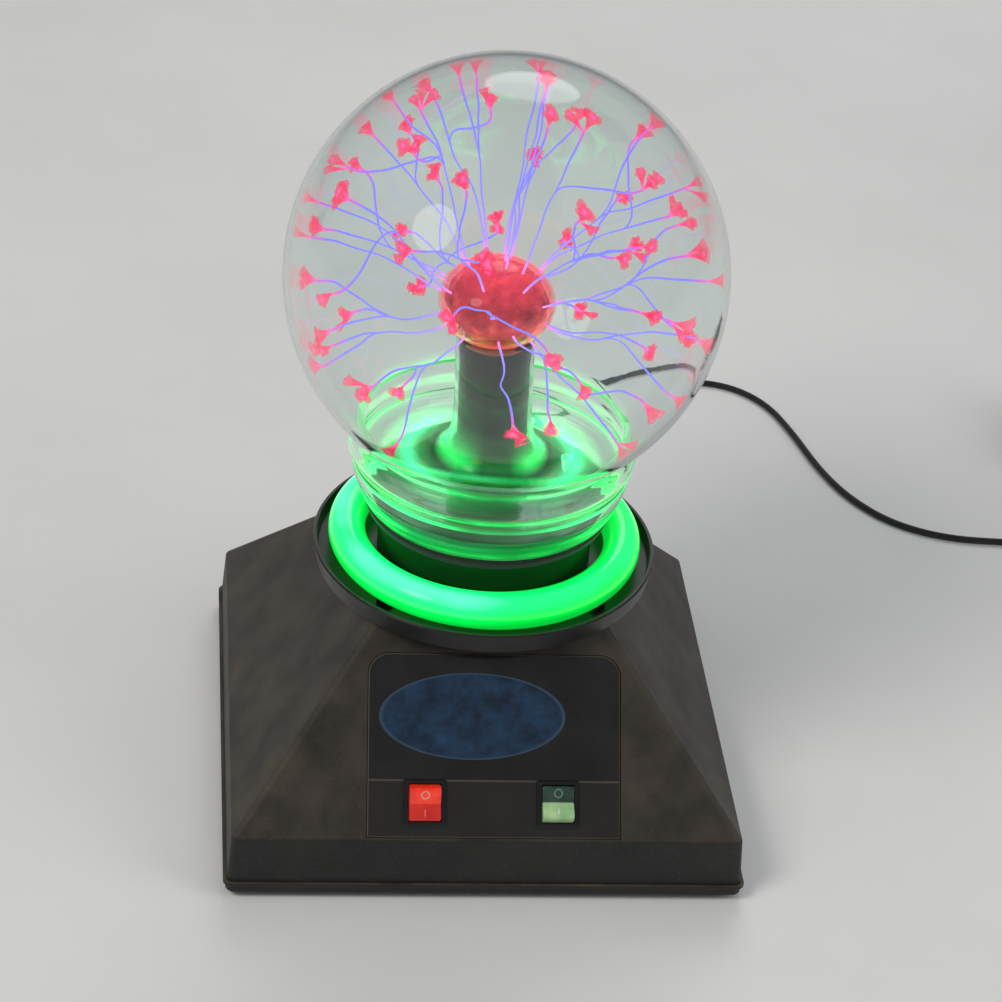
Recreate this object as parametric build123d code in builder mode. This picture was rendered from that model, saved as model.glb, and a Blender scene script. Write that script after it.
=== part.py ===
from build123d import *
import os
from math import atan2, cos, degrees, pi, radians, sin, sqrt, tan

os.makedirs("parts", exist_ok=True)

# Plasma ball: a clear glass globe on a square sloped base, with a ring lamp round the globe's neck.
# Millimetres, +Z up, the front faces -Y, and the origin is the centre of the feet on the table.

# ---- driving dimensions ----
foot_height = 3.0
tray_top = 7.8              # seam between the bottom tray and the shell
lip_half = 120.0            # half width of the shell's lip at the seam
lip_top = 9.6
skirt_low_half = 118.4
fold_half = 117.0           # half width where the skirt folds into the slopes
fold_z = 33.0
crown_half = 52.0           # half width at the flat top
crown_z = 111.0
slope = atan2(crown_z - fold_z, fold_half - crown_half)

collar_r = 80.2             # round lamp tray
collar_top = 120.7
trough_z = 115.2
lamp_r = 64.6               # ring lamp
lamp_tube_r = 8.6
lamp_z = 124.2
pedestal_r = 50.0
pedestal_top = 144.5

globe_z = 261.3             # glass globe
globe_r = 100.0
glass = 2.4
crease_r = 62.0             # where the sphere meets the neck
neck_r = 66.7
neck_top = 174.0
neck_low = 171.5
rim_r = 58.4
rim_z = 147.0
floor_z = 165.0             # glass floor that the stem rises from
stem_r = 18.0
stem_lean = radians(2.3)    # the blown stem leans a little to the left
bulb_up = 83.4              # electrode centre, along the stem
bulb_r = 26.5
bulb_h = 20.0

panel_x = 2.0               # front panel, measured up the slope from the fold
panel_width = 116.4
panel_low = 1.2
panel_high = 85.5
switch_up = 17.2
power_x = panel_x - 31.7
mode_x = panel_x + 29.1
rocker_tilt = 11.0
rocker_r = 8.4
pivot_r = 1.2

board_z = 16.0
cord_d = 3.5
cord_exit_z = 22.0

crease_z = globe_z - sqrt(globe_r**2 - crease_r**2)
slope_out = Vector(0, -sin(slope), cos(slope))
front_face = Plane(origin=(0, -fold_half, fold_z), x_dir=(1, 0, 0), z_dir=slope_out)
stem_dir = Vector(-sin(stem_lean), 0, cos(stem_lean))
stem_axis = Axis((0, 0, floor_z), stem_dir)
stem_section = Plane(origin=(0, 0, floor_z), x_dir=(cos(stem_lean), 0, sin(stem_lean)), z_dir=(0, -1, 0))


def on_stem(up):
    """A point on the leaning stem's axis, up millimetres above the glass floor."""
    return Vector(0, 0, floor_z) + stem_dir * up


def on_face(x, up, out):
    """A point x across and up the front slope, out millimetres off its surface."""
    return front_face.from_local_coords((x, up, out))


def write(piece, name):
    piece.part.label = name
    export_step(piece.part, f"parts/{name}.step")


def square_form(levels, corner):
    """A straight-sided tower through rounded squares given as (z, half width)."""
    with BuildPart() as form:
        for z, half in levels:
            with BuildSketch(Plane.XY.offset(z)):
                RectangleRounded(2 * half, 2 * half, corner)
        loft(ruled=True)
    return form.part


# ---- base shell ----
shell_inner = square_form([(tray_top - 1, 116.0), (fold_z, 113.6), (crown_z - 2.5, 50.6)], 1.5)
post_places = [(-104, -104), (104, -104), (-104, 104), (104, 104)]

with BuildPart() as shell_form:
    add(square_form([(lip_top, skirt_low_half), (fold_z, fold_half), (crown_z, crown_half)], 3))
    with BuildSketch(Plane.XY.offset(tray_top)):
        RectangleRounded(2 * lip_half, 2 * lip_half, 4)
    extrude(amount=lip_top - tray_top)
    # soft mould radii where the skirt turns into the slopes and round the lip
    fillet(shell_form.edges().filter_by_position(Axis.Z, fold_z - 0.1, fold_z + 0.1), 2.5)
    fillet(shell_form.faces().group_by(Axis.Z)[0].edges(), 0.6)

with BuildPart() as base_shell:
    add(shell_form.part)
    add(shell_inner, mode=Mode.SUBTRACT)
    # screw posts that run up into the slopes
    with BuildSketch(Plane.XY.offset(tray_top)):
        with Locations(*post_places):
            Circle(4)
    extrude(amount=38)
    add(shell_form.part, mode=Mode.INTERSECT)
    with BuildSketch(Plane.XY.offset(tray_top)):
        with Locations(*post_places):
            Circle(1.5)
    extrude(amount=18, mode=Mode.SUBTRACT)
    # openings in the flat top: the wires, and four screws into the lamp tray
    with BuildSketch(Plane.XY.offset(crown_z - 5)):
        Circle(20)
        with PolarLocations(40, 4, 45):
            Circle(1.7)
    extrude(amount=10, mode=Mode.SUBTRACT)
    # shallow pocket for the front panel, round at its two upper corners
    with BuildSketch(front_face.offset(-1.4)) as pocket:
        with Locations((panel_x, (panel_low + panel_high) / 2)):
            Rectangle(panel_width, panel_high - panel_low)
        fillet(pocket.vertices().group_by(Axis.Y)[-1], 10)
    extrude(amount=3, mode=Mode.SUBTRACT)
    with BuildSketch(front_face.offset(-6)):
        with Locations((power_x, switch_up), (mode_x, switch_up)):
            Rectangle(18.6, 20.4)
    extrude(amount=8, mode=Mode.SUBTRACT)
    # cord opening in the back wall
    with BuildSketch(Plane.XZ.offset(-110)):
        with Locations((0, cord_exit_z)):
            Circle(4.0)
    extrude(amount=-12, mode=Mode.SUBTRACT)
write(base_shell, "base_shell")

# ---- bottom tray ----
board_posts = [(-48, 8), (48, 8), (-48, 68), (48, 68)]
foot_places = [(-84, -84), (84, -84), (-84, 84), (84, 84)]
with BuildPart() as bottom_tray:
    with BuildSketch(Plane.XY.offset(foot_height)):
        RectangleRounded(2 * 118.8, 2 * 118.8, 4)
    extrude(amount=tray_top - foot_height)
    chamfer(bottom_tray.faces().sort_by(Axis.Z)[0].edges(), 1.2)
    with BuildSketch(Plane.XY.offset(foot_height + 3)):
        RectangleRounded(2 * 113.2, 2 * 113.2, 2)
    extrude(amount=10, mode=Mode.SUBTRACT)
    # locating tongue that stands inside the shell
    with BuildSketch(Plane.XY.offset(tray_top - 1)):
        RectangleRounded(2 * 115.0, 2 * 115.0, 2)
        RectangleRounded(2 * 113.2, 2 * 113.2, 2, mode=Mode.SUBTRACT)
    extrude(amount=5.5)
    with BuildSketch(Plane.XY.offset(foot_height)):
        with Locations(*post_places):
            Circle(5)
    extrude(amount=tray_top - foot_height - 0.1)
    with BuildSketch(Plane.XY.offset(foot_height + 2)):
        with Locations(*board_posts):
            Circle(3.5)
    extrude(amount=board_z - foot_height - 2)
    # screw recesses from below
    with Locations((0, 0, foot_height)):
        with Locations(*post_places):
            Hole(1.7, depth=20)
    with BuildSketch(Plane.XY.offset(foot_height)):
        with Locations(*post_places):
            Circle(3.4)
    extrude(amount=3, mode=Mode.SUBTRACT)
    with BuildSketch(Plane.XY.offset(board_z)):
        with Locations(*board_posts):
            Circle(1.25)
    extrude(amount=-9, mode=Mode.SUBTRACT)
    # cooling slots under the board
    with BuildSketch(Plane.XY.offset(foot_height)):
        with GridLocations(0, 9, 1, 6):
            SlotOverall(50, 2.6)
    extrude(amount=3, mode=Mode.SUBTRACT)
write(bottom_tray, "bottom_tray")

with BuildPart() as rubber_feet:
    with BuildSketch():
        with Locations(*foot_places):
            Circle(8)
    extrude(amount=foot_height)
    chamfer(rubber_feet.faces().filter_by(Axis.Z).group_by(Axis.Z)[0].edges(), 0.8)
write(rubber_feet, "rubber_feet")

with BuildPart() as case_screws:
    with BuildSketch(Plane.XY.offset(3.8)):
        with Locations(*post_places):
            Circle(3.0)
    extrude(amount=2.2)
    with BuildSketch(Plane.XY.offset(3.8)):
        with Locations(*post_places):
            Rectangle(3.6, 0.8)
            Rectangle(0.8, 3.6)
    extrude(amount=1.0, mode=Mode.SUBTRACT)
    with BuildSketch(Plane.XY.offset(6.0)):
        with Locations(*post_places):
            Circle(1.45)
    extrude(amount=19)
write(case_screws, "case_screws")

# ---- front panel and label ----
with BuildPart() as front_panel:
    with BuildSketch(front_face.offset(-1.4)) as plate:
        with Locations((panel_x, (panel_low + panel_high) / 2)):
            Rectangle(panel_width - 0.8, panel_high - panel_low - 0.8)
        fillet(plate.vertices().group_by(Axis.Y)[-1], 9.6)
    extrude(amount=1.2)
    chamfer(front_panel.faces().sort_by(Axis((0, 0, 0), slope_out))[-1].edges(), 0.45)
    with BuildSketch(front_face.offset(-3)):
        with Locations((power_x, switch_up), (mode_x, switch_up)):
            Rectangle(18.2, 20.0)
    extrude(amount=4, mode=Mode.SUBTRACT)
    # scored line between the switches and the label
    with BuildSketch(front_face.offset(-0.45)):
        with Locations((panel_x, 27.4)):
            Rectangle(99, 1.1)
    extrude(amount=1, mode=Mode.SUBTRACT)
write(front_panel, "front_panel")

with BuildPart() as panel_label:
    with BuildSketch(front_face.offset(-0.2)):
        with Locations((panel_x - 10.2, 56.7)):
            Ellipse(42.7, 19.8)
    extrude(amount=0.3)
write(panel_label, "panel_label")


# ---- rocker switches ----
def switch_case(x):
    """The switch body: a bezel on the panel, a deep case behind it, a well and two pivot holes."""
    with BuildPart() as case:
        with BuildSketch(front_face.offset(-0.2)):
            with Locations((x, switch_up)):
                RectangleRounded(19.6, 21.4, 1.2)
        extrude(amount=1.7)
        chamfer(case.faces().sort_by(Axis((0, 0, 0), slope_out))[-1].edges(), 0.5)
        with BuildSketch(front_face.offset(-0.2)):
            with Locations((x, switch_up)):
                Rectangle(17.8, 19.6)
        extrude(amount=-14)
        with BuildSketch(front_face.offset(-9.2)):
            with Locations((x, switch_up)):
                Rectangle(14.9, 2 * rocker_r + 0.7)
        extrude(amount=12, mode=Mode.SUBTRACT)
        with BuildSketch(Plane(origin=on_face(x, switch_up, 0), x_dir=(0, 1, 0), z_dir=(1, 0, 0))):
            Circle(pivot_r + 0.05)
        extrude(amount=8.3, both=True, mode=Mode.SUBTRACT)
    return case


def rocker(x, lean):
    """A rocker about its pivot pin: two shallow faces in a V, round ends, lean degrees off level."""
    turn = slope + radians(lean)
    middle = on_face(x, switch_up, 0)
    side = Plane(origin=middle, x_dir=(0, cos(turn), sin(turn)), z_dir=(1, 0, 0))
    with BuildPart() as key:
        with BuildSketch(side):
            with BuildLine():
                Polyline((0, 3.0), (9, 4.9), (9, -2.6), (2, -2.6), (2, -6.5), (-2, -6.5),
                         (-2, -2.6), (-9, -2.6), (-9, 4.9), close=True)
            make_face()
            Circle(rocker_r, mode=Mode.INTERSECT)
        extrude(amount=7.2, both=True)
        with BuildSketch(side):
            Circle(pivot_r)
        extrude(amount=8.1, both=True)
    return key


power_switch_case = switch_case(power_x)
write(power_switch_case, "power_switch_case")
mode_switch_case = switch_case(mode_x)
write(mode_switch_case, "mode_switch_case")
power_rocker = rocker(power_x, rocker_tilt)
write(power_rocker, "power_rocker")
mode_rocker = rocker(mode_x, -rocker_tilt)
write(mode_rocker, "mode_rocker")
print("pivots", on_face(power_x, switch_up, 0), on_face(mode_x, switch_up, 0), "slope", degrees(slope))

with BuildPart() as switch_tabs:
    with BuildSketch(front_face.offset(-14.2)):
        with Locations((power_x, switch_up - 5), (power_x, switch_up + 5)):
            Rectangle(4.8, 0.8)
        with Locations((mode_x, switch_up - 6), (mode_x, switch_up), (mode_x, switch_up + 6)):
            Rectangle(4.8, 0.8)
    extrude(amount=-7)
write(switch_tabs, "switch_tabs")

# ---- lamp tray, ring lamp and its fittings ----
with BuildPart() as lamp_tray:
    with BuildSketch(Plane.XZ):
        with BuildLine():
            Polyline(
                (19, 111), (46, 111), (46, 113), (76.6, 113), (76.6, 111.2), (78.6, 111.2),
                (collar_r, collar_top - 0.8), (collar_r - 0.6, collar_top), (collar_r - 1.8, collar_top),
                (77.2, trough_z), (19, trough_z), close=True,
            )
        make_face()
    revolve(axis=Axis.Z)
    with BuildSketch(Plane.XY.offset(110)):
        with PolarLocations(40, 4, 45):
            Circle(1.3)
    extrude(amount=6, mode=Mode.SUBTRACT)
write(lamp_tray, "lamp_tray")

with BuildPart() as tray_screws:
    with BuildSketch(Plane.XY.offset(106.6)):
        with PolarLocations(40, 4, 45):
            Circle(2.8)
    extrude(amount=1.9)
    with BuildSketch(Plane.XY.offset(108.5)):
        with PolarLocations(40, 4, 45):
            Circle(1.25)
    extrude(amount=6.3)
write(tray_screws, "tray_screws")


def ring_section(angle):
    """A section plane through the lamp tube at angle degrees from +X."""
    return Plane(origin=(0, 0, 0), x_dir=(cos(radians(angle)), sin(radians(angle)), 0),
                 z_dir=(sin(radians(angle)), -cos(radians(angle)), 0))


with BuildPart() as ring_lamp:
    with BuildSketch(ring_section(96)):
        with Locations((lamp_r, lamp_z)):
            Circle(lamp_tube_r)
    revolve(axis=Axis.Z, revolution_arc=348)
write(ring_lamp, "ring_lamp")

with BuildPart() as lamp_sleeve:
    with BuildSketch(ring_section(80)):
        with Locations((lamp_r, lamp_z)):
            Circle(lamp_tube_r + 1.3)
            Circle(lamp_tube_r + 0.05, mode=Mode.SUBTRACT)
    revolve(axis=Axis.Z, revolution_arc=20)
    with BuildSketch(Plane.XY.offset(trough_z - 3)):
        Rectangle(170, 170)
    extrude(amount=3, mode=Mode.SUBTRACT)
write(lamp_sleeve, "lamp_sleeve")

with BuildPart() as lamp_cradles:
    with BuildSketch(Plane.XY.offset(trough_z)):
        with PolarLocations(lamp_r, 4, 45):
            Rectangle(13, 7)
    extrude(amount=3.2)
    with BuildSketch(Plane.XZ):
        with Locations((lamp_r, lamp_z)):
            Circle(lamp_tube_r + 0.1)
    revolve(axis=Axis.Z, mode=Mode.SUBTRACT)
write(lamp_cradles, "lamp_cradles")

# ---- pedestal, gasket and clamp ring under the glass ----
with BuildPart() as globe_pedestal:
    with BuildSketch(Plane.XZ):
        with BuildLine():
            Polyline(
                (47.5, trough_z), (pedestal_r, trough_z), (pedestal_r, 138.5), (56.5, 141.5),
                (56.5, pedestal_top), (21, pedestal_top), (21, 142), (47.5, 142), close=True,
            )
        make_face()
    revolve(axis=Axis.Z)
    # the ring lamp's two leads pass through the back of the wall
    with BuildSketch(Plane.XZ.offset(-40)):
        with Locations((-6, 123.5), (6, 123.5)):
            Circle(1.6)
    extrude(amount=-14, mode=Mode.SUBTRACT)
write(globe_pedestal, "globe_pedestal")

with BuildPart() as globe_gasket:
    with BuildSketch(Plane.XZ):
        with Locations(((57.6 + 54.9) / 2, (pedestal_top + rim_z) / 2)):
            Rectangle(2.7, rim_z - pedestal_top)
    revolve(axis=Axis.Z)
write(globe_gasket, "globe_gasket")

with BuildPart() as globe_clamp:
    with BuildSketch(Plane.XZ):
        with BuildLine():
            Polyline((44, pedestal_top), (54.2, pedestal_top), (54.2, 149.5), (52, 151), (44, 151), close=True)
        make_face()
    revolve(axis=Axis.Z)
write(globe_clamp, "globe_clamp")

# ---- glass globe with its neck, and the floor with the stem tube ----
globe_in = globe_r - glass
crease_in_r = crease_r - 2.0
crease_in_z = globe_z - sqrt(globe_in**2 - crease_in_r**2)
with BuildPart() as glass_globe:
    with BuildSketch(Plane.XZ):
        with BuildLine():
            ThreePointArc((0, globe_z + globe_r), (globe_r, globe_z), (crease_r, crease_z))
            ThreePointArc((crease_r, crease_z), (65.5, 179.2), (neck_r, neck_top))
            Line((neck_r, neck_top), (neck_r, neck_low))
            ThreePointArc((neck_r, neck_low), (64.0, 158.8), (rim_r, rim_z))
            Line((rim_r, rim_z), (rim_r - 3.0, rim_z))
            ThreePointArc((rim_r - 3.0, rim_z), (60.9, 158.8), (neck_r - 3.0, neck_low))
            Line((neck_r - 3.0, neck_low), (neck_r - 3.0, neck_top))
            ThreePointArc((neck_r - 3.0, neck_top), (62.8, 179.6), (crease_in_r, crease_in_z))
            ThreePointArc((crease_in_r, crease_in_z), (globe_in, globe_z), (0, globe_z + globe_in))
            Line((0, globe_z + globe_in), (0, globe_z + globe_r))
        make_face()
    revolve(axis=Axis.Z)
write(glass_globe, "glass_globe")

bulb_bore = bulb_up - bulb_h * sqrt(1 - (stem_r / bulb_r)**2)
with BuildPart() as glass_stem:
    with BuildSketch(Plane.XZ):
        with BuildLine():
            Polyline((19, floor_z - 1.2), (62.2, floor_z - 1.2), (62.2, floor_z + 1.2), (30, floor_z + 1.2))
            ThreePointArc((30, floor_z + 1.2), (22.6, floor_z + 4.0), (18.9, floor_z + 12))
            Line((18.9, floor_z + 12), (17, floor_z + 12))
            Line((17, floor_z + 12), (19, floor_z - 1.2))
        make_face()
    revolve(axis=Axis.Z)
    with BuildSketch(stem_section):
        with Locations((stem_r / 2, (bulb_bore + 2) / 2)):
            Rectangle(stem_r, bulb_bore - 2)
    revolve(axis=stem_axis)
    with BuildSketch(stem_section):
        with Locations(((stem_r - 1.5) / 2, (bulb_bore - 21.4) / 2)):
            Rectangle(stem_r - 1.5, bulb_bore + 18.6)
    revolve(axis=stem_axis, mode=Mode.SUBTRACT)
write(glass_stem, "glass_stem")


bulb_section = Plane(origin=on_stem(bulb_up), x_dir=stem_section.x_dir, z_dir=(0, -1, 0))


def half_ball(radius, height, low):
    """Right half of an ellipse round the electrode's centre, cut off level at low."""
    edge = radius * sqrt(1 - (low / height)**2)
    start = atan2(low / height, edge / radius)
    turns = [start + (pi / 2 - start) * step / 8 for step in range(9)]
    with BuildSketch(bulb_section) as half:
        with BuildLine():
            Spline(*[(radius * cos(turn), height * sin(turn)) for turn in turns],
                   tangents=[(-radius * sin(start), height * cos(start)), (-1, 0)])
            Polyline((0, height), (0, low), (edge, low))
        make_face()
    return half.sketch


with BuildPart() as electrode_bulb:
    revolve(half_ball(bulb_r, bulb_h, bulb_bore - bulb_up + 0.05), axis=stem_axis)
    revolve(half_ball(bulb_r - 1.2, bulb_h - 1.2, bulb_bore - bulb_up + 1.2), axis=stem_axis, mode=Mode.SUBTRACT)
write(electrode_bulb, "electrode_bulb")

with BuildPart() as electrode_wool:
    revolve(half_ball(bulb_r - 1.8, bulb_h - 1.8, bulb_bore - bulb_up + 1.8), axis=stem_axis)
write(electrode_wool, "electrode_wool")

with BuildPart() as stem_liner:
    with BuildSketch(stem_section):
        with Locations(((stem_r - 1.9 + 3.5) / 2, 22)):
            Rectangle(stem_r - 5.4, 78)
    revolve(axis=stem_axis)
write(stem_liner, "stem_liner")

with BuildPart() as stem_contact:
    with BuildSketch(stem_section):
        with Locations((6, 61.9)):
            Rectangle(12, 1.6)
        with Locations((1.6, 58)):
            Rectangle(3.2, 7)
    revolve(axis=stem_axis)
write(stem_contact, "stem_contact")

with BuildPart() as exhaust_tip:
    with BuildSketch(Plane.XZ):
        with BuildLine():
            Polyline((36, floor_z - 1.2), (39, floor_z - 1.2), (37.6, floor_z - 8), (36, floor_z - 11), close=True)
        make_face()
    revolve(axis=Axis((36, 0, 0), (0, 0, 1)))
write(exhaust_tip, "exhaust_tip")

# ---- electronics on the bottom tray ----
board_top = board_z + 1.6
with BuildPart() as driver_board:
    with BuildSketch(Plane.XY.offset(board_z)):
        with Locations((0, 38)):
            RectangleRounded(110, 74, 2)
        with Locations(*board_posts):
            Circle(1.6, mode=Mode.SUBTRACT)
    extrude(amount=1.6)
write(driver_board, "driver_board")

with BuildPart() as board_screws:
    with BuildSketch(Plane.XY.offset(board_top)):
        with Locations(*board_posts):
            Circle(2.7)
    extrude(amount=1.8)
    with BuildSketch(Plane.XY.offset(board_top)):
        with Locations(*board_posts):
            Circle(1.2)
    extrude(amount=-9)
write(board_screws, "board_screws")

with BuildPart() as transformer_core:
    with BuildSketch(Plane(origin=(-22, 44, board_top), x_dir=(1, 0, 0), z_dir=(0, -1, 0))):
        with Locations((0, 21)):
            Rectangle(38, 42)
            with Locations((-11, 0), (11, 0)):
                Rectangle(8, 26, mode=Mode.SUBTRACT)
    extrude(amount=6, both=True)
write(transformer_core, "transformer_core")

with BuildPart() as transformer_coil:
    with BuildSketch(Plane.XY.offset(board_top + 8.5)):
        with Locations((-22, 44)):
            Circle(14.7)
            Rectangle(14.4, 12.4, mode=Mode.SUBTRACT)
    extrude(amount=25)
write(transformer_coil, "transformer_coil")

with BuildPart() as heat_sink:
    with BuildSketch(Plane.XY.offset(board_top)):
        with Locations((30, 62)):
            Rectangle(36, 3)
            with GridLocations(4.8, 0, 8, 1):
                with Locations((0, -6)):
                    Rectangle(1.4, 10)
    extrude(amount=30)
write(heat_sink, "heat_sink")

with BuildPart() as power_transistor:
    with BuildSketch(Plane.XY.offset(board_top + 8)):
        with Locations((30, 65.8)):
            Rectangle(10.2, 4.4)
    extrude(amount=9.2)
    with BuildSketch(Plane.XY.offset(board_top + 17.2)):
        with Locations((30, 64.2)):
            Rectangle(10.2, 1.3)
    extrude(amount=6.2)
    with BuildSketch(Plane.XY.offset(board_top)):
        with Locations((27.5, 66), (30, 66), (32.5, 66)):
            Rectangle(0.8, 0.6)
    extrude(amount=8)
write(power_transistor, "power_transistor")

with BuildPart() as capacitors:
    with BuildSketch(Plane.XY.offset(board_top)):
        with Locations((8, 20), (22, 20)):
            Circle(5)
    extrude(amount=20)
    with BuildSketch(Plane.XY.offset(board_top)):
        with Locations((34, 20), (8, 34), (44, 34)):
            Circle(4)
    extrude(amount=12)
write(capacitors, "capacitors")

with BuildPart() as film_capacitor:
    with BuildSketch(Plane.XY.offset(board_top)):
        with Locations((22, 36)):
            RectangleRounded(18, 8, 1.5)
    extrude(amount=14)
write(film_capacitor, "film_capacitor")

with BuildPart() as wire_headers:
    with BuildSketch(Plane.XY.offset(board_top)):
        with Locations((-36, 6), (36, 6), (0, 6), (50, 44)):
            Rectangle(10, 6)
    extrude(amount=7)
    with BuildSketch(Plane.XY.offset(board_top + 7)):
        with Locations((-36, 6), (36, 6), (0, 6), (50, 44)):
            Rectangle(8, 4)
    extrude(amount=-5, mode=Mode.SUBTRACT)
write(wire_headers, "wire_headers")

with BuildPart() as microphone:
    with BuildSketch(Plane.XY.offset(board_top)):
        with Locations((-14, 9)):
            Circle(4.85)
    extrude(amount=6.7)
    with BuildSketch(Plane.XY.offset(board_top + 6.7)):
        with Locations((-14, 9)):
            Circle(3.2)
    extrude(amount=-0.5, mode=Mode.SUBTRACT)
write(microphone, "microphone")

with BuildPart() as lamp_inverter:
    with BuildSketch(Plane.XY.offset(foot_height + 3)):
        with Locations((-78, 30)):
            RectangleRounded(22, 52, 2)
    extrude(amount=16)
    fillet(lamp_inverter.faces().sort_by(Axis.Z)[-1].edges(), 1)
write(lamp_inverter, "lamp_inverter")


# ---- leads ----
def bend_radii(points):
    """The largest arcs the runs allow at each corner: 0.45 of the shorter run over tan(half turn)."""
    spots = [Vector(*p) for p in points]
    radii = []
    for before, here, after in zip(spots, spots[1:], spots[2:]):
        one = here - before
        two = after - here
        turn = radians(one.get_angle(two))
        radii.append(0.45 * min(one.length, two.length) / tan(turn / 2))
    return radii


def lead(points, diameter):
    """A round lead along straight runs joined by tangent arcs."""
    with BuildPart() as wire:
        with BuildLine() as route:
            FilletPolyline(*points, radius=bend_radii(points))
        with BuildSketch(Plane(origin=points[0], z_dir=Vector(*points[1]) - Vector(*points[0]))):
            Circle(diameter / 2)
        sweep()
    print("lead", round(route.wires()[0].length, 1), "tightest", round(min(bend_radii(points)), 1),
          "volume", round(wire.part.volume / (route.wires()[0].length * pi * diameter**2 / 4), 4))
    return wire


top_of_coil = board_top + 42
stem_low = on_stem(-12)
stem_mid = on_stem(20)
stem_high = on_stem(54.4)
hv_route = [
    (-22, 44, top_of_coil + 0.1), (-22, 43, top_of_coil + 13), (-14, 27, 90), (-3, 9, 112),
    (-1, 2, 138), tuple(stem_low), (stem_mid.X, 0.3, stem_mid.Z), tuple(stem_high),
]
hv_lead = lead(hv_route, 3.0)
write(hv_lead, "hv_lead")


def pair(first, second, diameter):
    """Two leads side by side in one node."""
    with BuildPart() as both:
        add(lead(first, diameter).part)
        add(lead(second, diameter).part)
    return both


def tab_end(x, up):
    spot = on_face(x, up, -21.7)
    return (spot.X, spot.Y, spot.Z)


power_leads = pair(
    [tab_end(power_x, switch_up - 5), (-28, -82, 26.0), (-30, -58, 17.5), (-35, -30, 20), (-37.5, -8, 30),
     (-37.5, 3, 31), (-37.6, 6, 25)],
    [tab_end(power_x, switch_up + 5), (-26, -80, 36.0), (-27, -55, 26), (-31, -29, 26), (-34.5, -9, 32),
     (-34.5, 2.5, 31), (-34.4, 6, 25)],
    1.6,
)
write(power_leads, "power_leads")
mode_leads = pair(
    [tab_end(mode_x, switch_up - 6), (31, -82, 26.0), (32, -58, 17.5), (35, -30, 20), (37.5, -8, 30),
     (37.5, 3, 31), (37.6, 6, 25)],
    [tab_end(mode_x, switch_up + 6), (30, -80, 36.5), (29, -55, 27), (32, -29, 26), (34.5, -9, 32),
     (34.5, 2.5, 31), (34.4, 6, 25)],
    1.6,
)
write(mode_leads, "mode_leads")

lamp_leads = pair(
    [(-6, 54, 123.5), (-6, 42, 123.3), (-8, 22, 121), (-10, 6, 109), (-22, 6, 94), (-44, 14, 70), (-66, 25, 46),
     (-77, 32, 33), (-78, 34, 22.4)],
    [(6, 54, 123.5), (6, 44, 123.3), (5, 26, 122), (-4, -6, 110), (-20, -10, 94), (-42, -4, 68), (-66, 6, 44),
     (-78, 16, 33), (-79, 20, 22.4)],
    1.8,
)
write(lamp_leads, "lamp_leads")

supply_lead = lead(
    [(0, 111.3, cord_exit_z), (1, 99, cord_exit_z + 2), (14, 89, 30), (36, 80, 36), (52, 68, 38), (53, 54, 37),
     (50.4, 44.6, 31), (50, 44, 25)],
    cord_d - 0.7,
)
write(supply_lead, "supply_lead")

with BuildPart() as strain_relief:
    with BuildSketch(Plane.YZ):
        with BuildLine():
            Polyline(
                (111.6, cord_exit_z), (111.6, cord_exit_z + 5.2), (113.9, cord_exit_z + 5.2), (113.9, cord_exit_z + 3.9),
                (118.6, cord_exit_z + 3.9), (118.6, cord_exit_z + 5.0), (120.6, cord_exit_z + 5.0),
                (121.6, cord_exit_z + 4.0), (141, cord_exit_z + 2.4), (141, cord_exit_z), close=True,
            )
        make_face()
    revolve(axis=Axis((0, 0, cord_exit_z), (0, 1, 0)))
write(strain_relief, "strain_relief")

# The low-voltage lead: out at the back, round to the right on the table, then forward and away.
low = cord_d / 2 + 0.05
cord_route = [
    (0, 141, 22), (1, 156, 18.6), (4, 173, 10.4), (9, 192, 3.6), (17, 217, low), (31, 249, low), (51, 282, low),
    (78, 313, low), (112, 338, low), (147, 350, low), (177, 347, low), (198, 327, low), (209, 294, low),
    (217, 259, low), (229, 228, low), (249, 202, low), (277, 188, low), (308, 185, low), (334, 184, low),
    (352, 184, low),
]
cord_run = lead(cord_route, cord_d)
print("bends", [round(r) for r in bend_radii(cord_route)])
write(cord_run, "cord_run")

# The rest of the lead is a neat coil beside the adapter: 38 mm across at mid-turn.
coil_x = 352
coil_y = 203
coil_r = 19.0
with BuildPart() as cord_coil:
    with BuildSketch(Plane.XZ.offset(-coil_y)):
        with Locations((coil_x + coil_r, 5.3)):
            RectangleRounded(10.6, 10.5, 2)
    revolve(axis=Axis((coil_x, coil_y, 0), (0, 0, 1)))
write(cord_coil, "cord_coil")

adapter_x = 372
adapter_y = 246
cord_tail = lead(
    [(coil_x + coil_r, 203, 8.6), (coil_x + coil_r + 0.6, 216, 9.2), (adapter_x + 0.3, 229, 11)],
    cord_d,
)
write(cord_tail, "cord_tail")

with BuildPart() as adapter_relief:
    with BuildSketch(Plane(origin=(adapter_x + 0.3, 229, 11), z_dir=(0, 1, 0))):
        Circle(2.4)
    with BuildSketch(Plane(origin=(adapter_x + 0.3, adapter_y, 11), z_dir=(0, 1, 0))):
        Circle(4.0)
    loft()
write(adapter_relief, "adapter_relief")

with BuildPart() as adapter_case:
    with BuildSketch(Plane.XY):
        with Locations((adapter_x, adapter_y + 34)):
            RectangleRounded(44, 68, 4)
    extrude(amount=30)
    fillet(adapter_case.faces().sort_by(Axis.Z)[-1].edges(), 1.5)
    fillet(adapter_case.faces().sort_by(Axis.Z)[0].edges(), 1.5)
write(adapter_case, "adapter_case")

with BuildPart() as adapter_pins:
    with BuildSketch(Plane.XY.offset(30)):
        with Locations((adapter_x - 6.35, adapter_y + 48), (adapter_x + 6.35, adapter_y + 48)):
            Rectangle(1.5, 6.3)
    extrude(amount=16.5)
    chamfer(adapter_pins.faces().filter_by(Axis.Z).group_by(Axis.Z)[-1].edges(), 0.5)
write(adapter_pins, "adapter_pins")
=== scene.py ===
import math

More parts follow.
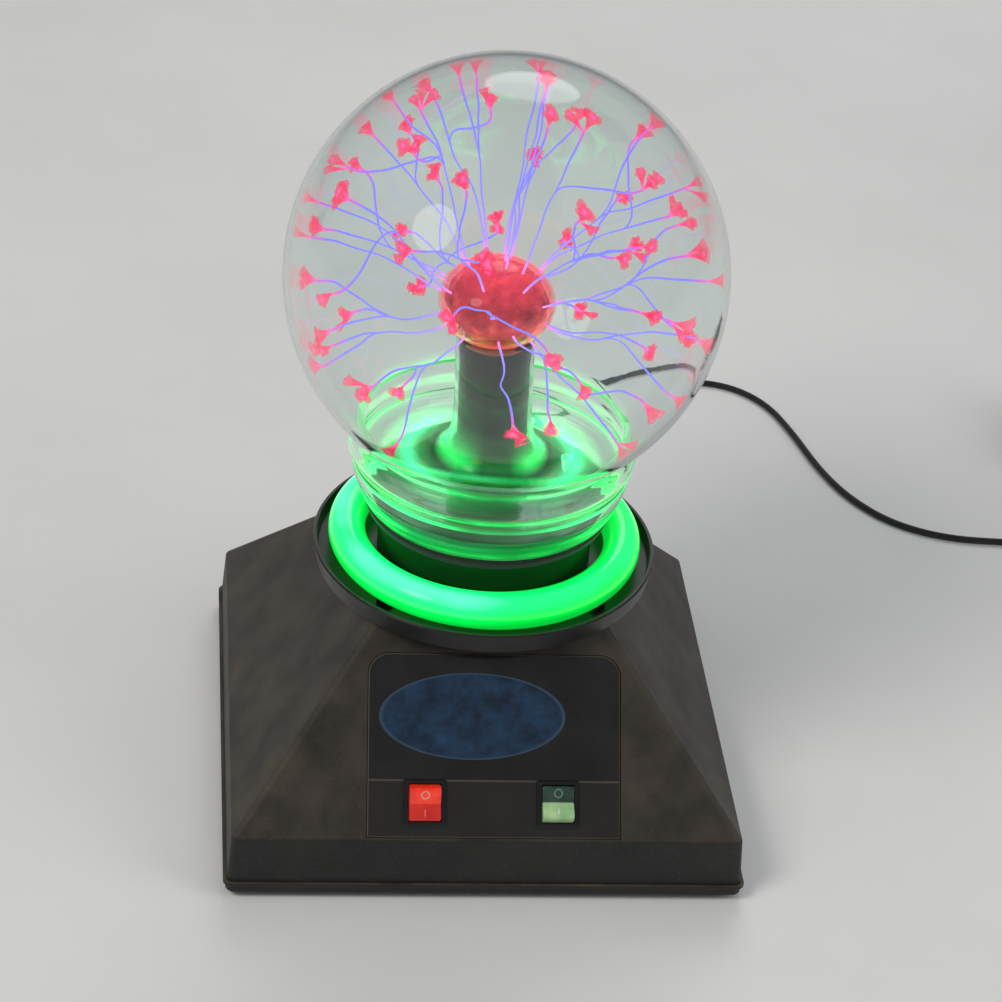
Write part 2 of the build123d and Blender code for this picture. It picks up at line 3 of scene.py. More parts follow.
import bmesh
import bpy
import numpy as np
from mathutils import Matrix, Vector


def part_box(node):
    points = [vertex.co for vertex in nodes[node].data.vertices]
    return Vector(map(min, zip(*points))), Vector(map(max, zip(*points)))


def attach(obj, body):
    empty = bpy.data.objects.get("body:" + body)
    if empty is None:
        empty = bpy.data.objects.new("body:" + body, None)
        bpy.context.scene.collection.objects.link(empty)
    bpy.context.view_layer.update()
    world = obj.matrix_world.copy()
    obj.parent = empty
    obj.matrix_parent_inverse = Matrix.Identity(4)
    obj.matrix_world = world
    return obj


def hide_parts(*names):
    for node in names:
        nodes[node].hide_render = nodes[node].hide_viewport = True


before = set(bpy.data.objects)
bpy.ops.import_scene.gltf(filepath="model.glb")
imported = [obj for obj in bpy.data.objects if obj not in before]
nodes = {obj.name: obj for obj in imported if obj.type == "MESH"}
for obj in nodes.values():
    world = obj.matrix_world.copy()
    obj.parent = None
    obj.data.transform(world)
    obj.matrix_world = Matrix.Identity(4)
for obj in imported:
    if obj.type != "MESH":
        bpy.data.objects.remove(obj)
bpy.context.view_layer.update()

MM = 0.001

# ---- the globe's frame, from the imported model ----
globe_low, globe_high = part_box("glass_globe")
GLOBE_R = (globe_high.x - globe_low.x) / 2
GLOBE_Z = globe_high.z - GLOBE_R
RIM_Z = globe_low.z
GLASS = 2.4 * MM
FLOOR_Z = 165.0 * MM             # the glass floor that the stem rises from
LEAN = math.tan(math.radians(2.3))
BULB_R = 26.5 * MM
BULB_H = 20.0 * MM
BULB = np.array([-math.sin(math.radians(2.3)) * 83.4 * MM, 0.0, FLOOR_Z + 83.33 * MM])
LAMP_R = 64.6 * MM
LAMP_TUBE = 8.6 * MM
LAMP_Z = 124.2 * MM

# the front slope: across is +X, UP runs up the slope, OUT stands off it
SLOPE = math.atan2(111 - 33, 117 - 52)
FOLD = np.array([0.0, -117 * MM, 33 * MM])
UP = np.array([0.0, math.cos(SLOPE), math.sin(SLOPE)])
OUT = np.array([0.0, -math.sin(SLOPE), math.cos(SLOPE)])
SWITCH_UP = 17.2 * MM
POWER_X = -29.7 * MM
MODE_X = 31.1 * MM


# ---- camera, floor and lights ----
def add_camera():
    """One long lens from the front, a little to the left and well above."""
    data = bpy.data.cameras.new("camera")
    data.lens = 116.7
    data.sensor_width = 36.0
    data.clip_end = 20.0
    camera = bpy.data.objects.new("camera", data)
    camera.location = (-0.15828, -1.26536, 0.95796)
    camera.rotation_euler = [math.radians(turn) for turn in (57.2874, -4.3182, -4.6515)]
    bpy.context.collection.objects.link(camera)
    bpy.context.scene.camera = camera


def add_light(name, place, aim, size, watts, tint, mirrored=True):
    """A round soft light at place, turned to face aim; mirrored says whether gloss shows its shape."""
    data = bpy.data.lights.new(name, "AREA")
    data.shape = "DISK"
    data.size = size
    data.energy = watts
    data.color = tint
    lamp = bpy.data.objects.new(name, data)
    lamp.location = place
    away = Vector(place) - Vector(aim)
    lamp.rotation_euler = away.to_track_quat("Z", "Y").to_euler()
    lamp.visible_glossy = mirrored
    lamp.visible_transmission = mirrored
    bpy.context.collection.objects.link(lamp)


add_camera()
add_light("key_light", (-1.3, -1.1, 1.9), (0, 0, 0.15), 1.0, 21, (1.0, 0.98, 0.95), mirrored=False)
add_light("key_sheen", (-1.5, -0.9, 1.7), (0, 0, 0.2), 0.9, 4, (1.0, 0.98, 0.95))
add_light("fill_light", (1.7, -0.9, 1.2), (0, 0, 0.2), 1.4, 10, (0.95, 0.97, 1.0), mirrored=False)
add_light("back_light", (0.3, 1.6, 1.7), (0, 0, 0.2), 1.2, 9, (1.0, 1.0, 1.0), mirrored=False)
add_light("back_sheen", (0.3, 1.6, 1.6), (0, 0, 0.2), 1.0, 3, (1.0, 1.0, 1.0))

world = bpy.data.worlds.new("studio")
world.use_nodes = True
world.node_tree.nodes["Background"].inputs["Color"].default_value = (0.80, 0.83, 0.88, 1)
world.node_tree.nodes["Background"].inputs["Strength"].default_value = 0.32
bpy.context.scene.world = world
bpy.context.scene.view_settings.view_transform = "Standard"


# ---- material helpers ----
def linear(code):
    """An sRGB hex colour as linear red, green, blue and alpha."""
    parts = np.array([int(code[i:i + 2], 16) for i in (1, 3, 5)]) / 255
    curved = np.where(parts <= 0.04045, parts / 12.92, ((parts + 0.055) / 1.055) ** 2.4)
    return (*[float(part) for part in curved], 1.0)


def put(tree, kind, inputs=(), stops=(), **settings):
    """Adds one shader node with its settings, its input values or links, and a ramp's stops."""
    node = tree.nodes.new("ShaderNode" + kind)
    for name, value in settings.items():
        setattr(node, name, value)
    for name, value in dict(inputs).items():
        if isinstance(value, bpy.types.NodeSocket):
            tree.links.new(value, node.inputs[name])
        else:
            node.inputs[name].default_value = value
    for index, (place, code) in enumerate(stops):
        ramp = node.color_ramp.elements
        stop = ramp[index] if index < 2 else ramp.new(place)
        stop.position = place
        stop.color = linear(code)
    return node


def new_material(name):
    """An empty material with a Principled surface; returns it, its tree and the surface node."""
    made = bpy.data.materials.new(name)
    made.use_nodes = True
    return made, made.node_tree, made.node_tree.nodes["Principled BSDF"]


SCORED_LINE = "#574f43"
PAINTED_BEVEL_HIGHLIGHT = "#6f6657"
DUST_AND_SHEEN_TONE = "#7d705f"


def finish(name, dark, light, patch_mm, rough, grain_mm, relief_mm, metallic=0.0, ior=1.5, coat=0.0,
           stretch=(1, 1, 1), dust_and_sheen=0.0, speck=None, zone=None):
    """A surface with real-size patches between two tones, uneven gloss and a fine relief.

    Tone and gloss follow soft noise patch_mm across; relief is finer noise grain_mm across and
    relief_mm deep; the dust and sheen amount lightens the faces that look up, as settled dust and as painted sheen;
    speck is (hex, mm) for small flecks; zone is (hex, mm) for another tone below that distance up the front
    slope, with a pale scored line between the two and a painted highlight on the plate's bevelled edge.
    """
    made, tree, surface = new_material(name)
    coords = put(tree, "TexCoord").outputs["Object"]
    spread = put(tree, "Mapping", {"Vector": coords, "Scale": stretch}).outputs["Vector"]
    patch = put(tree, "TexNoise", {"Vector": spread, "Scale": 1000 / patch_mm, "Detail": 4.0, "Roughness": 0.6})
    tone = put(tree, "ValToRGB", {"Fac": patch.outputs["Fac"]}, [(0.34, dark), (0.68, light)]).outputs["Color"]
    if speck:
        fleck = put(tree, "TexVoronoi", {"Vector": coords, "Scale": 1000 / speck[1]})
        near = put(tree, "MapRange", {"Value": fleck.outputs["Distance"], "From Min": 0.10, "From Max": 0.18,
                                      "To Min": 1.0, "To Max": 0.0}).outputs["Result"]
        tone = put(tree, "Mix", {0: near, 6: tone, 7: linear(speck[0])}, data_type="RGBA").outputs[2]
    if zone:
        climb = put(tree, "VectorMath", {0: coords, 1: tuple(UP)}, operation="DOT_PRODUCT").outputs["Value"]
        edge = float(FOLD @ UP) + zone[1] * MM
        below = put(tree, "MapRange", {"Value": climb, "From Min": edge,
                                       "From Max": edge - 0.6 * MM}).outputs["Result"]
        tone = put(tree, "Mix", {0: below, 6: tone, 7: linear(zone[0])}, data_type="RGBA").outputs[2]
        off = put(tree, "Math", {0: climb, 1: edge}, operation="SUBTRACT").outputs["Value"]
        off = put(tree, "Math", {0: off}, operation="ABSOLUTE").outputs["Value"]
        line = put(tree, "MapRange", {"Value": off, "From Min": 0.2 * MM, "From Max": 0.6 * MM, "To Min": 0.8,
                                      "To Max": 0.0}).outputs["Result"]
        tone = put(tree, "Mix", {0: line, 6: tone, 7: linear(SCORED_LINE)}, data_type="RGBA").outputs[2]
        # painted highlight: the faces of the plate's bevel, turned away from the slope, are painted paler where light
        # would catch the edge
        turn = put(tree, "VectorMath", {0: put(tree, "NewGeometry").outputs["Normal"], 1: tuple(OUT)},
                   operation="DOT_PRODUCT").outputs["Value"]
        bevel_highlight = put(tree, "MapRange", {"Value": turn, "From Min": 0.75, "From Max": 0.92, "To Min": 0.9,
                                      "To Max": 0.0}).outputs["Result"]
        tone = put(tree, "Mix", {0: bevel_highlight, 6: tone, 7: linear(PAINTED_BEVEL_HIGHLIGHT)}, data_type="RGBA").outputs[2]
    # dust and painted sheen: faces that look up are mixed toward a pale brown, as settled dust and as the sheen of
    # light from above
    if dust_and_sheen:
        facing = put(tree, "SeparateXYZ", {"Vector": put(tree, "NewGeometry").outputs["Normal"]}).outputs["Z"]
        cloud = put(tree, "TexNoise", {"Vector": coords, "Scale": 45.0, "Detail": 6.0}).outputs["Fac"]
        lying = put(tree, "Math", {0: facing, 1: cloud}, operation="MULTIPLY").outputs["Value"]
        amount = put(tree, "MapRange", {"Value": lying, "From Min": 0.1, "From Max": 0.8, "To Min": 0.0,
                                        "To Max": dust_and_sheen}).outputs["Result"]
        tone = put(tree, "Mix", {0: amount, 6: tone, 7: linear(DUST_AND_SHEEN_TONE)}, data_type="RGBA").outputs[2]
    tree.links.new(tone, surface.inputs["Base Color"])
    wander = put(tree, "TexNoise", {"Vector": spread, "Scale": 2600 / patch_mm, "Detail": 3.0}).outputs["Fac"]
    gloss = put(tree, "MapRange", {"Value": wander, "To Min": rough[0], "To Max": rough[1]}).outputs["Result"]
    tree.links.new(gloss, surface.inputs["Roughness"])
    grain = put(tree, "TexNoise", {"Vector": spread, "Scale": 1000 / grain_mm, "Detail": 3.0}).outputs["Fac"]
    bump = put(tree, "Bump", {"Height": grain, "Distance": relief_mm * MM, "Strength": 1.0})
    tree.links.new(bump.outputs["Normal"], surface.inputs["Normal"])
    surface.inputs["Metallic"].default_value = metallic
    surface.inputs["Coat Weight"].default_value = coat
    if not metallic:
        surface.inputs["IOR"].default_value = ior
    return made


def clear_glass(name, tint, rough):
    """Blown glass: fully clear, with faint drawn ripples about 9 mm apart and a thin smeary film."""
    made, tree, surface = new_material(name)
    coords = put(tree, "TexCoord").outputs["Object"]
    ripple = put(tree, "TexNoise", {"Vector": coords, "Scale": 110.0, "Detail": 2.0}).outputs["Fac"]
    bump = put(tree, "Bump", {"Height": ripple, "Distance": 0.010 * MM, "Strength": 1.0}).outputs["Normal"]
    tree.links.new(bump, surface.inputs["Normal"])
    smear = put(tree, "TexNoise", {"Vector": coords, "Scale": 38.0, "Detail": 5.0}).outputs["Fac"]
    film = put(tree, "MapRange", {"Value": smear, "From Min": 0.45, "From Max": 0.8, "To Min": rough,
                                  "To Max": rough + 0.035}).outputs["Result"]
    tree.links.new(film, surface.inputs["Roughness"])
    surface.inputs["Base Color"].default_value = linear(tint)
    surface.inputs["Transmission Weight"].default_value = 1.0
    surface.inputs["IOR"].default_value = 1.47
    return made, tree, surface, coords


def neck_glass():
    """Clear glass whose thick neck carries the ring lamp's light as a painted green glow along its crease, step and
    rim.
    """
    made, tree, surface, coords = clear_glass("blown_soda_glass", "#f6fcfa", 0.0)
    height = put(tree, "SeparateXYZ", {"Vector": coords}).outputs["Z"]
    rise = put(tree, "MapRange", {"Value": height, "From Min": RIM_Z,
                                  "From Max": RIM_Z + 50 * MM}).outputs["Result"]
    stops = [(0.0, "#0b6a28"), (1.0, "#000000"), (0.05, "#1cdc54"), (0.11, "#0d6426"), (0.28, "#0a4a1d"),
             (0.42, "#0f7a30"), (0.48, "#22f060"), (0.52, "#0d5a24"), (0.66, "#0b4a1e"), (0.72, "#1ed052"),
             (0.77, "#083816"), (0.88, "#020a04")]
    light = put(tree, "ValToRGB", {"Fac": rise}, stops).outputs["Color"]
    longways = put(tree, "Mapping", {"Vector": coords, "Scale": (1, 1, 5)}).outputs["Vector"]
    streak = put(tree, "TexNoise", {"Vector": longways, "Scale": 55.0, "Detail": 4.0}).outputs["Fac"]
    share = put(tree, "MapRange", {"Value": streak, "From Min": 0.30, "From Max": 0.66, "To Min": 0.25,
                                   "To Max": 1.0}).outputs["Result"]
    # painted glow: the ring lamp's light is painted into the glass as green emission in bands by height, broken into
    # streaks
    painted_lamp_glow = put(tree, "Mix", {0: share, 6: (0, 0, 0, 1), 7: light}, data_type="RGBA").outputs[2]
    tree.links.new(painted_lamp_glow, surface.inputs["Emission Color"])
    surface.inputs["Emission Strength"].default_value = 0.55
    return made


def floor_glass():
    """The same glass in the floor and the stem's flare, with a painted green glow by distance from the axis, most at
    the two sides.
    """
    made, tree, surface, coords = clear_glass("pressed_stem_glass", "#f2fbf6", 0.0)
    level = put(tree, "VectorMath", {0: coords, 1: (1, 1, 0)}, operation="MULTIPLY").outputs["Vector"]
    away = put(tree, "VectorMath", {0: level}, operation="LENGTH").outputs["Value"]
    place = put(tree, "MapRange", {"Value": away, "From Min": 18 * MM, "From Max": 62 * MM}).outputs["Result"]
    stops = [(0.0, "#0a5a22"), (1.0, "#1cd854"), (0.08, "#1ff064"), (0.20, "#062a10"), (0.36, "#0f8a3c"),
             (0.50, "#35ffa4"), (0.64, "#12a848"), (0.80, "#04200c"), (0.93, "#0a5a22")]
    light = put(tree, "ValToRGB", {"Fac": place}, stops).outputs["Color"]
    bearing = put(tree, "VectorMath", {0: level}, operation="NORMALIZE").outputs["Vector"]
    sideways = put(tree, "Math", {0: put(tree, "SeparateXYZ", {"Vector": bearing}).outputs["X"]}, operation="ABSOLUTE")
    share = put(tree, "MapRange", {"Value": sideways.outputs["Value"], "From Min": 0.30, "From Max": 0.72,
                                   "To Min": 0.16, "To Max": 1.0}).outputs["Result"]
    height = put(tree, "SeparateXYZ", {"Vector": coords}).outputs["Z"]
    low = put(tree, "MapRange", {"Value": height, "From Min": FLOOR_Z + 6 * MM, "From Max": FLOOR_Z + 26 * MM,
                                 "To Min": 1.0, "To Max": 0.0}).outputs["Result"]
    amount = put(tree, "Math", {0: share, 1: low}, operation="MULTIPLY").outputs["Value"]
    # painted glow: the lamp's green light is painted into the floor and flare by radius, strongest at the two sides
    # and fading upward
    painted_lamp_glow = put(tree, "Mix", {0: amount, 6: (0, 0, 0, 1), 7: light}, data_type="RGBA").outputs[2]
    tree.links.new(painted_lamp_glow, surface.inputs["Emission Color"])
    surface.inputs["Emission Strength"].default_value = 0.8
    return made


def bulb_glass_film():
    """Thin glass with a rosy film that the light inside tints, in 5 mm clouds and orange at the bottom."""
    made, tree, surface, coords = clear_glass("thin_electrode_glass", "#ffcdc8", 0.02)
    height = put(tree, "SeparateXYZ", {"Vector": coords}).outputs["Z"]
    cloud = put(tree, "TexNoise", {"Vector": coords, "Scale": 200.0, "Detail": 3.0}).outputs["Fac"]
    mixed = put(tree, "Math", {0: height, 1: put(tree, "Math", {0: cloud, 1: 6 * MM}, operation="MULTIPLY")
                               .outputs["Value"]}, operation="ADD").outputs["Value"]
    rise = put(tree, "MapRange", {"Value": mixed, "From Min": float(BULB[2] - BULB_H),
                                  "From Max": float(BULB[2] + BULB_H)}).outputs["Result"]
    stops = [(0.08, "#ffa040"), (1.0, "#e8385a"), (0.24, "#ff5a38"), (0.38, "#a82236"), (0.72, "#701a2c")]
    light = put(tree, "ValToRGB", {"Fac": rise}, stops).outputs["Color"]
    tree.links.new(light, surface.inputs["Emission Color"])
    surface.inputs["Emission Strength"].default_value = 0.32
    return made


# ---- mesh helpers ----
def grid_faces(rows, columns, around):
    """Four-sided faces of a rows by columns grid of points; around joins the last column to the first."""
    spans = columns if around else columns - 1
    row, column = np.meshgrid(np.arange(rows - 1), np.arange(spans), indexing="ij")
    following = (column + 1) % columns
    return np.stack([row * columns + column, row * columns + following,
                     (row + 1) * columns + following, (row + 1) * columns + column], -1).reshape(-1, 4)


def piece(name, points, faces, material, body="base", stands_for=(), flat=False, weld=1e-7,
          attribute=None):
    """A mesh piece with outward faces, its doubles merged, riding on a body."""
    mesh = bpy.data.meshes.new(name)
    mesh.from_pydata(np.asarray(points, float).reshape(-1, 3).tolist(), [], np.asarray(faces).tolist())
    if attribute:
        layer = mesh.attributes.new(attribute[0], "FLOAT", "POINT")
        layer.data.foreach_set("value", np.asarray(attribute[1], np.float32).ravel())
    work = bmesh.new()
    work.from_mesh(mesh)
    if weld:
        bmesh.ops.remove_doubles(work, verts=work.verts, dist=weld)
    bmesh.ops.recalc_face_normals(work, faces=work.faces)
    work.to_mesh(mesh)
    work.free()
    mesh.polygons.foreach_set("use_smooth", [not flat] * len(mesh.polygons))
    mesh.materials.append(material)
    made = bpy.data.objects.new(name, mesh)
    bpy.context.collection.objects.link(made)
    if stands_for:
        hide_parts(*stands_for)
    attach(made, body)
    return made


def turned(profile, sides, closed=True):
    """Points and faces of a profile of (radius, height) pairs turned about +Z."""
    profile = np.asarray(profile, float)
    angle = np.linspace(0, 2 * np.pi, sides, endpoint=False)
    points = np.stack([profile[:, :1] * np.cos(angle), profile[:, :1] * np.sin(angle),
                       np.repeat(profile[:, 1:], sides, 1)], -1)
    if closed:
        points = np.concatenate([points, points[:1]])
    return points, grid_faces(len(points), sides, True)


def arc(centre, radii, start, stop, count):
    """Points on an ellipse's arc: centre + (a cos t, b sin t), t in degrees from start to stop."""
    turn = np.radians(np.linspace(start, stop, count))
    return np.stack([centre[0] + radii[0] * np.cos(turn), centre[1] + radii[1] * np.sin(turn)], -1)


def smooth_line(corners, count):
    """A Catmull-Rom curve through the corners: each span is the usual cubic in four neighbours."""
    knots = np.asarray(corners, float)
    knots = np.concatenate([2 * knots[:1] - knots[1:2], knots, 2 * knots[-1:] - knots[-2:-1]])
    step = np.linspace(0, len(knots) - 3, count)
    index = np.minimum(step.astype(int), len(knots) - 4)
    t = (step - index)[:, None]
    a, b, c, d = knots[index], knots[index + 1], knots[index + 2], knots[index + 3]
    return 0.5 * (2 * b + (c - a) * t + (2 * a - 5 * b + 4 * c - d) * t**2 + (3 * b - a - 3 * c + d) * t**3)


def tube_along(path, radius, sides, aside):
    """A round tube: ring k is path[k] + radius[k] (cos a . side + sin a . over), closed at its ends.

    side is the path's direction crossed with aside, over is the direction crossed with side.
    """
    path = np.asarray(path, float)
    radius = np.broadcast_to(radius, len(path))
    ahead = np.gradient(path, axis=0)
    ahead /= np.linalg.norm(ahead, axis=1, keepdims=True)
    side = np.cross(ahead, aside)
    side /= np.linalg.norm(side, axis=1, keepdims=True)
    over = np.cross(ahead, side)
    angle = np.linspace(0, 2 * np.pi, sides, endpoint=False)
    ring = np.cos(angle)[None, :, None] * side[:, None] + np.sin(angle)[None, :, None] * over[:, None]
    points = path[:, None] + radius[:, None, None] * ring
    points = np.concatenate([np.repeat(path[:1, None], sides, 1), points, np.repeat(path[-1:, None], sides, 1)])
    return points, grid_faces(len(points), sides, True)


def joined(parts):
    """Several (points, faces) grids as one list of points and one of faces."""
    points, faces, base = [], [], 0
    for part_points, part_faces in parts:
        flat = np.asarray(part_points).reshape(-1, 3)
        points.append(flat)
        faces.append(np.asarray(part_faces) + base)
        base += len(flat)
    return np.concatenate(points), np.concatenate(faces)


# ---- the lead: one spline from the back of the base to the adapter ----
CORD_D = 3.5 * MM
CORD_ROUTE = [
    (0, 141, 22), (1, 156, 18.6), (4, 173, 10.4), (9, 192, 3.6), (17, 217, 1.8), (31, 249, 1.8), (51, 282, 1.8),
    (78, 313, 1.8), (112, 338, 1.8), (147, 350, 1.8), (177, 347, 1.8), (198, 327, 1.8), (209, 294, 1.8),
    (217, 259, 1.8), (229, 228, 1.8), (249, 202, 1.8), (277, 188, 1.8), (308, 185, 1.8), (334, 184, 1.8),
]
COIL = (352.0, 203.0)
COIL_TURNS = [(19.0, 1.8), (22.2, 2.0), (15.8, 2.2), (19.0, 5.2), (22.3, 5.4), (15.7, 5.5), (19.0, 8.6)]
TAIL = [(372.2, 222, 10.0), (372.3, 229, 11)]


def coil_points():
    """Each turn is 14 points on its circle, at the radius and height of its layer, easing to the next turn's."""
    turns = np.array(COIL_TURNS)
    count = 14 * (len(turns) - 1) + 4
    step = np.arange(count) / 14
    whole = np.minimum(step.astype(int), len(turns) - 2)
    ease = np.clip((step - whole - 0.62) / 0.38, 0, 1)
    ease = (ease * ease * (3 - 2 * ease))[:, None]
    across = turns[whole] * (1 - ease) + turns[whole + 1] * ease
    angle = np.radians(-90) + 2 * np.pi * step
    along_x = COIL[0] + across[:, 0] * np.cos(angle)
    along_y = COIL[1] + across[:, 0] * np.sin(angle)
    return np.stack([along_x, along_y, across[:, 1]], -1)


def add_cord(material):
    """The lead's centreline is a NURBS of order 3 through the route, the coil's turns and the tail."""
    points = np.concatenate([np.array(CORD_ROUTE), coil_points(), np.array(TAIL)]) * MM
    data = bpy.data.curves.new("power_lead", "CURVE")
    data.dimensions = "3D"
    spline = data.splines.new("NURBS")
    spline.points.add(len(points) - 1)
    spline.points.foreach_set("co", np.c_[points, np.ones(len(points))].ravel())
    spline.order_u = 3
    spline.use_endpoint_u = True
    spline.resolution_u = 6
    data.bevel_depth = CORD_D / 2
    data.bevel_resolution = 4
    data.use_fill_caps = True
    data.materials.append(material)
    lead = bpy.data.objects.new("power_lead", data)
    bpy.context.collection.objects.link(lead)
    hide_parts("cord_run", "cord_coil", "cord_tail")
    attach(lead, "base")
    return lead


# ---- materials ----
# PVC cable cover: soft, drawn, dull black that picks up a broad sheen
pvc_black = finish("soft_pvc_cable_cover", "#101010", "#1c1b1b", 9, (0.36, 0.52), 1.2, 0.02, ior=1.53)
# ABS, spark-eroded mould texture: dull brown-black; the real 0.3 mm grain is drawn 0.8 mm so that it shows; its
# up-facing slopes are lifted to a brown-grey that is part dust and part painted sheen
abs_textured = finish("textured_moulded_abs", "#0f0e0e", "#1b1917", 38, (0.46, 0.62), 0.8, 0.05, ior=1.53,
                      dust_and_sheen=0.52, speck=("#3a352e", 2.2))
# ABS from a polished mould: smooth, satin black with handling marks
abs_satin = finish("satin_moulded_abs", "#0d0d0e", "#171716", 26, (0.24, 0.42), 2.4, 0.008, ior=1.53, dust_and_sheen=0.10)
# acrylic plate: deep gloss black with a thin film of dust
acrylic_black = finish("gloss_black_acrylic_plate", "#060608", "#0f0f12", 22, (0.10, 0.24), 6.0, 0.006, ior=1.49,
                       coat=0.3, dust_and_sheen=0.10, zone=("#1a1713", 27.4))
# nylon switch bezel: smooth black, slightly waxy
nylon_black = finish("moulded_black_nylon", "#0e0e0e", "#181818", 8, (0.34, 0.46), 1.0, 0.012, ior=1.53)
nylon_white = finish("natural_white_nylon", "#d9d6c8", "#e7e4d8", 6, (0.4, 0.55), 1.0, 0.012, ior=1.53)
# rubber and silicone: matt, powdery black
rubber_black = finish("moulded_black_rubber", "#151515", "#222120", 7, (0.68, 0.86), 0.9, 0.03, ior=1.52)
silicone_dark = finish("dark_silicone_sleeve", "#0a0a0b", "#161518", 18, (0.45, 0.66), 3.0, 0.03, ior=1.41)
# zinc-plated steel, turned brass, extruded aluminium: their grain is stretched along the cut
zinc_steel = finish("zinc_plated_steel", "#8d9093", "#b4b6b6", 3, (0.28, 0.44), 0.8, 0.01, metallic=1.0)
brass = finish("stamped_brass", "#b28f45", "#d3b36a", 4, (0.24, 0.4), 0.9, 0.01, metallic=1.0, stretch=(1, 1, 0.2))
aluminium = finish("extruded_aluminium", "#9a9c9e", "#bfc1c2", 5, (0.3, 0.46), 0.8, 0.012, metallic=1.0,
                   stretch=(1, 1, 0.1))
nickel = finish("nickel_plated_blades", "#a9a69e", "#cbc8c0", 4, (0.18, 0.32), 0.9, 0.008, metallic=1.0,
                stretch=(1, 1, 0.15))
# paper-phenolic board, ferrite, potting resin, dipped film capacitor, wire covers
board_brown = finish("phenolic_paper_board", "#8a6a35", "#a5834a", 5, (0.45, 0.6), 0.8, 0.02)
ferrite_grey = finish("sintered_ferrite", "#2a2a2c", "#3c3b3c", 3, (0.5, 0.7), 0.6, 0.03)
resin_black = finish("potting_resin", "#121213", "#1e1d1d", 12, (0.2, 0.4), 3.0, 0.03)
dipped_red = finish("dipped_red_epoxy", "#6e1f12", "#8d2c19", 6, (0.15, 0.3), 2.0, 0.02)
wire_red = finish("red_pvc_wire", "#9a1a12", "#b5271b", 5, (0.35, 0.5), 1.0, 0.015)
wire_grey = finish("grey_pvc_wire", "#5a5a5c", "#6e6e70", 5, (0.35, 0.5), 1.0, 0.015)
adapter_abs = finish("textured_adapter_abs", "#121212", "#1d1d1d", 16, (0.5, 0.66), 0.7, 0.045, ior=1.53)

# soda glass, blown and fused: clear, slightly wavy, with the lamp's green light painted in as a glow where it is thick
blown_glass = neck_glass()
stem_glass = floor_glass()
bulb_glass = bulb_glass_film()


def lit(name, stops, patch_mm, strength, rough, shell="#101010", attribute=None, fade=None):
    """A surface that shines: its light's colour follows soft noise patch_mm across, or a named attribute.

    fade is (start, end, least): from start to end of the attribute the surface thins out to least.
    """
    made, tree, surface = new_material(name)
    if attribute:
        amount = put(tree, "Attribute", attribute_name=attribute).outputs["Fac"]
    else:
        coords = put(tree, "TexCoord").outputs["Object"]
        amount = put(tree, "TexNoise", {"Vector": coords, "Scale": 1000 / patch_mm, "Detail": 5.0,
                                        "Roughness": 0.62}).outputs["Fac"]
    shade = put(tree, "ValToRGB", {"Fac": amount}, stops).outputs["Color"]
    tree.links.new(shade, surface.inputs["Emission Color"])
    if fade:
        thin = put(tree, "MapRange", {"Value": amount, "From Min": fade[0], "From Max": fade[1], "To Min": 1.0,
                                      "To Max": fade[2]}).outputs["Result"]
        tree.links.new(thin, surface.inputs["Alpha"])
    surface.inputs["Emission Strength"].default_value = strength
    surface.inputs["Base Color"].default_value = linear(shell)
    surface.inputs["Roughness"].default_value = rough
    return made


# phosphor-coated lamp glass: brightest and bluest on the face that stands up and out, greener underneath
def lamp_material():
    """Light colour follows the direction round the tube's section, 0.42 outward + 0.90 up, with slow clouds.

    The phosphor thins from -X to +X, so that side is a deeper green.
    """
    made, tree, surface = new_material("green_phosphor_lamp")
    coords = put(tree, "TexCoord").outputs["Object"]
    level = put(tree, "VectorMath", {0: coords, 1: (1, 1, 0)}, operation="MULTIPLY").outputs["Vector"]
    away = put(tree, "VectorMath", {0: level}, operation="LENGTH").outputs["Value"]
    place = put(tree, "SeparateXYZ", {"Vector": coords})
    height = place.outputs["Z"]
    thin = put(tree, "MapRange", {"Value": place.outputs["X"], "From Min": -LAMP_R, "From Max": LAMP_R, "To Min": 0.04,
                                  "To Max": -0.26}).outputs["Result"]
    outward = put(tree, "MapRange", {"Value": away, "From Min": LAMP_R - LAMP_TUBE, "From Max": LAMP_R + LAMP_TUBE,
                                     "To Min": -0.42, "To Max": 0.42}).outputs["Result"]
    upward = put(tree, "MapRange", {"Value": height, "From Min": LAMP_Z - LAMP_TUBE, "From Max": LAMP_Z + LAMP_TUBE,
                                    "To Min": -0.90, "To Max": 0.90}).outputs["Result"]
    facing = put(tree, "Math", {0: outward, 1: upward}, operation="ADD").outputs["Value"]
    rise = put(tree, "MapRange", {"Value": facing, "From Min": -0.1, "From Max": 1.0, "To Min": 0.0,
                                  "To Max": 0.88}).outputs["Result"]
    cloud = put(tree, "TexNoise", {"Vector": coords, "Scale": 16.0, "Detail": 2.0}).outputs["Fac"]
    streak = put(tree, "MapRange", {"Value": cloud, "From Min": 0.3, "From Max": 0.7, "To Min": -0.20,
                                    "To Max": 0.16}).outputs["Result"]
    streak = put(tree, "Math", {0: streak, 1: thin}, operation="ADD").outputs["Value"]
    amount = put(tree, "Math", {0: rise, 1: streak}, operation="ADD", use_clamp=True).outputs["Value"]
    stops = [(0.0, "#008a24"), (1.0, "#4cfc9c"), (0.42, "#00b036"), (0.76, "#0ccc60")]
    shade = put(tree, "ValToRGB", {"Fac": amount}, stops).outputs["Color"]
    tree.links.new(shade, surface.inputs["Emission Color"])
    surface.inputs["Emission Strength"].default_value = 2.6
    surface.inputs["Base Color"].default_value = linear("#062a14")
    surface.inputs["Roughness"].default_value = 0.12
    surface.inputs["Coat Weight"].default_value = 0.6
    return made


lamp_glow = lamp_material()
foil_glow = lit("glowing_crumpled_foil", [(0.30, "#3a1016"), (0.70, "#f0807a"), (0.43, "#7c2c36"), (0.56, "#b8444e")],
                8, 0.72, 0.25, shell="#7a2a2c")
